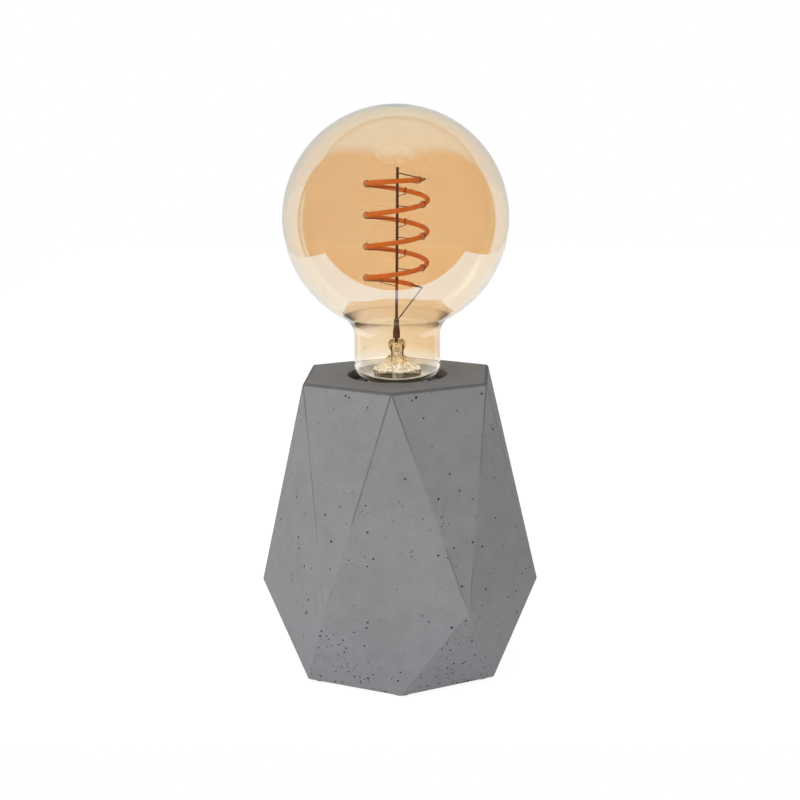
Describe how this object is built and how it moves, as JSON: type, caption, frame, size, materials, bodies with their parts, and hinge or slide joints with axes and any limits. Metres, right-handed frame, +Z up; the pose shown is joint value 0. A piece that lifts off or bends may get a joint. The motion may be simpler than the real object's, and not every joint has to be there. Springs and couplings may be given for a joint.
{
  "type": "concrete table lamp",
  "caption": "Table lamp: faceted grey concrete base with a recessed screw lampholder, holding a large amber globe lamp with a spiral filament.",
  "frame": {"origin": "middle of the base, on the table", "axes": "+Z up, -Y towards the front, cable inlet on +Y"},
  "size_m": [0.1186, 0.103, 0.2426],
  "materials": {
    "concrete": "cast, matt, with fine air pores",
    "pad_rubber": "matt",
    "cover_plastic": "fine grain",
    "plated_steel": "zinc plated",
    "brass": "turned, dull",
    "holder_plastic": "moulded, black",
    "white_ceramic": "glazed",
    "threaded_brass": "pressed sheet",
    "live_wire": "brown insulation",
    "neutral_wire": "blue insulation",
    "connector_plastic": "translucent white",
    "amber_glass": "clear amber, thin",
    "clear_glass": "clear",
    "cement": "matt",
    "black_glass": "opaque, black",
    "post_metal": "dark, lacquered",
    "filament_phosphor": "orange silicone",
    "wire_metal": "nickel wire",
    "board_laminate": "green laminate",
    "can_aluminium": "sleeved can",
    "chip_plastic": "moulded"
  },
  "bodies": {
    "lamp_base": {"concrete_body": "concrete", "foot_pads": "pad_rubber", "base_cover": "cover_plastic", "cover_screws": "plated_steel", "cover_inserts": "brass", "cable_grommet": "pad_rubber", "mounting_nipple": "plated_steel", "nipple_washer": "plated_steel", "nipple_nut": "plated_steel", "holder_cap": "holder_plastic", "nipple_grub_screw": "plated_steel", "holder_skirt": "holder_plastic", "contact_carrier": "white_ceramic", "thread_sleeve": "threaded_brass", "side_contact": "brass", "contact_root": "brass", "contact_rivets": "brass", "live_terminal": "brass", "neutral_terminal": "brass", "terminal_screws": "plated_steel", "live_lead": "live_wire", "neutral_lead": "neutral_wire", "connector_block": "connector_plastic", "connector_sleeves": "brass", "connector_screws": "plated_steel", "connector_fixing_screw": "plated_steel"},
    "contact_tongue": {"centre_contact": "brass"},
    "bulb_foot": {"cap_insulator": "black_glass", "tip_contact": "brass"},
    "bulb": {"bulb_glass": "amber_glass", "bulb_cap": "threaded_brass", "cap_cement": "cement", "stem_glass": "clear_glass", "filament_post": "post_metal", "post_sleeve": "post_metal", "filament": "filament_phosphor", "filament_tips": "wire_metal", "support_wires": "wire_metal", "lead_wires": "wire_metal", "stem_leads": "wire_metal", "driver_board": "board_laminate", "driver_capacitor": "can_aluminium", "driver_chip": "chip_plastic", "fuse_resistor": "chip_plastic", "cap_lead": "wire_metal"}
  },
  "joints": [
    {"name": "bulb_rise", "type": "slide", "parent": "lamp_base", "child": "bulb_foot", "axis": [0, 0, 1], "range_m": [0, 0.01275]},
    {"name": "bulb_turn", "type": "hinge", "parent": "bulb_foot", "child": "bulb", "pos_m": [0, 0, 0.1005], "axis": [0, 0, 1], "range_deg": [0, 1260]},
    {"name": "contact_press", "type": "hinge", "parent": "lamp_base", "child": "contact_tongue", "pos_m": [-0.0055, 0, 0.09895], "axis": [0, 1, 0], "range_deg": [0, 7], "stiffness_Nm_per_rad": 0.02}
  ],
  "couplings": [
    {"joint": "bulb_rise", "follows": "bulb_turn", "m_per_rad": 0.00057757}
  ]
}
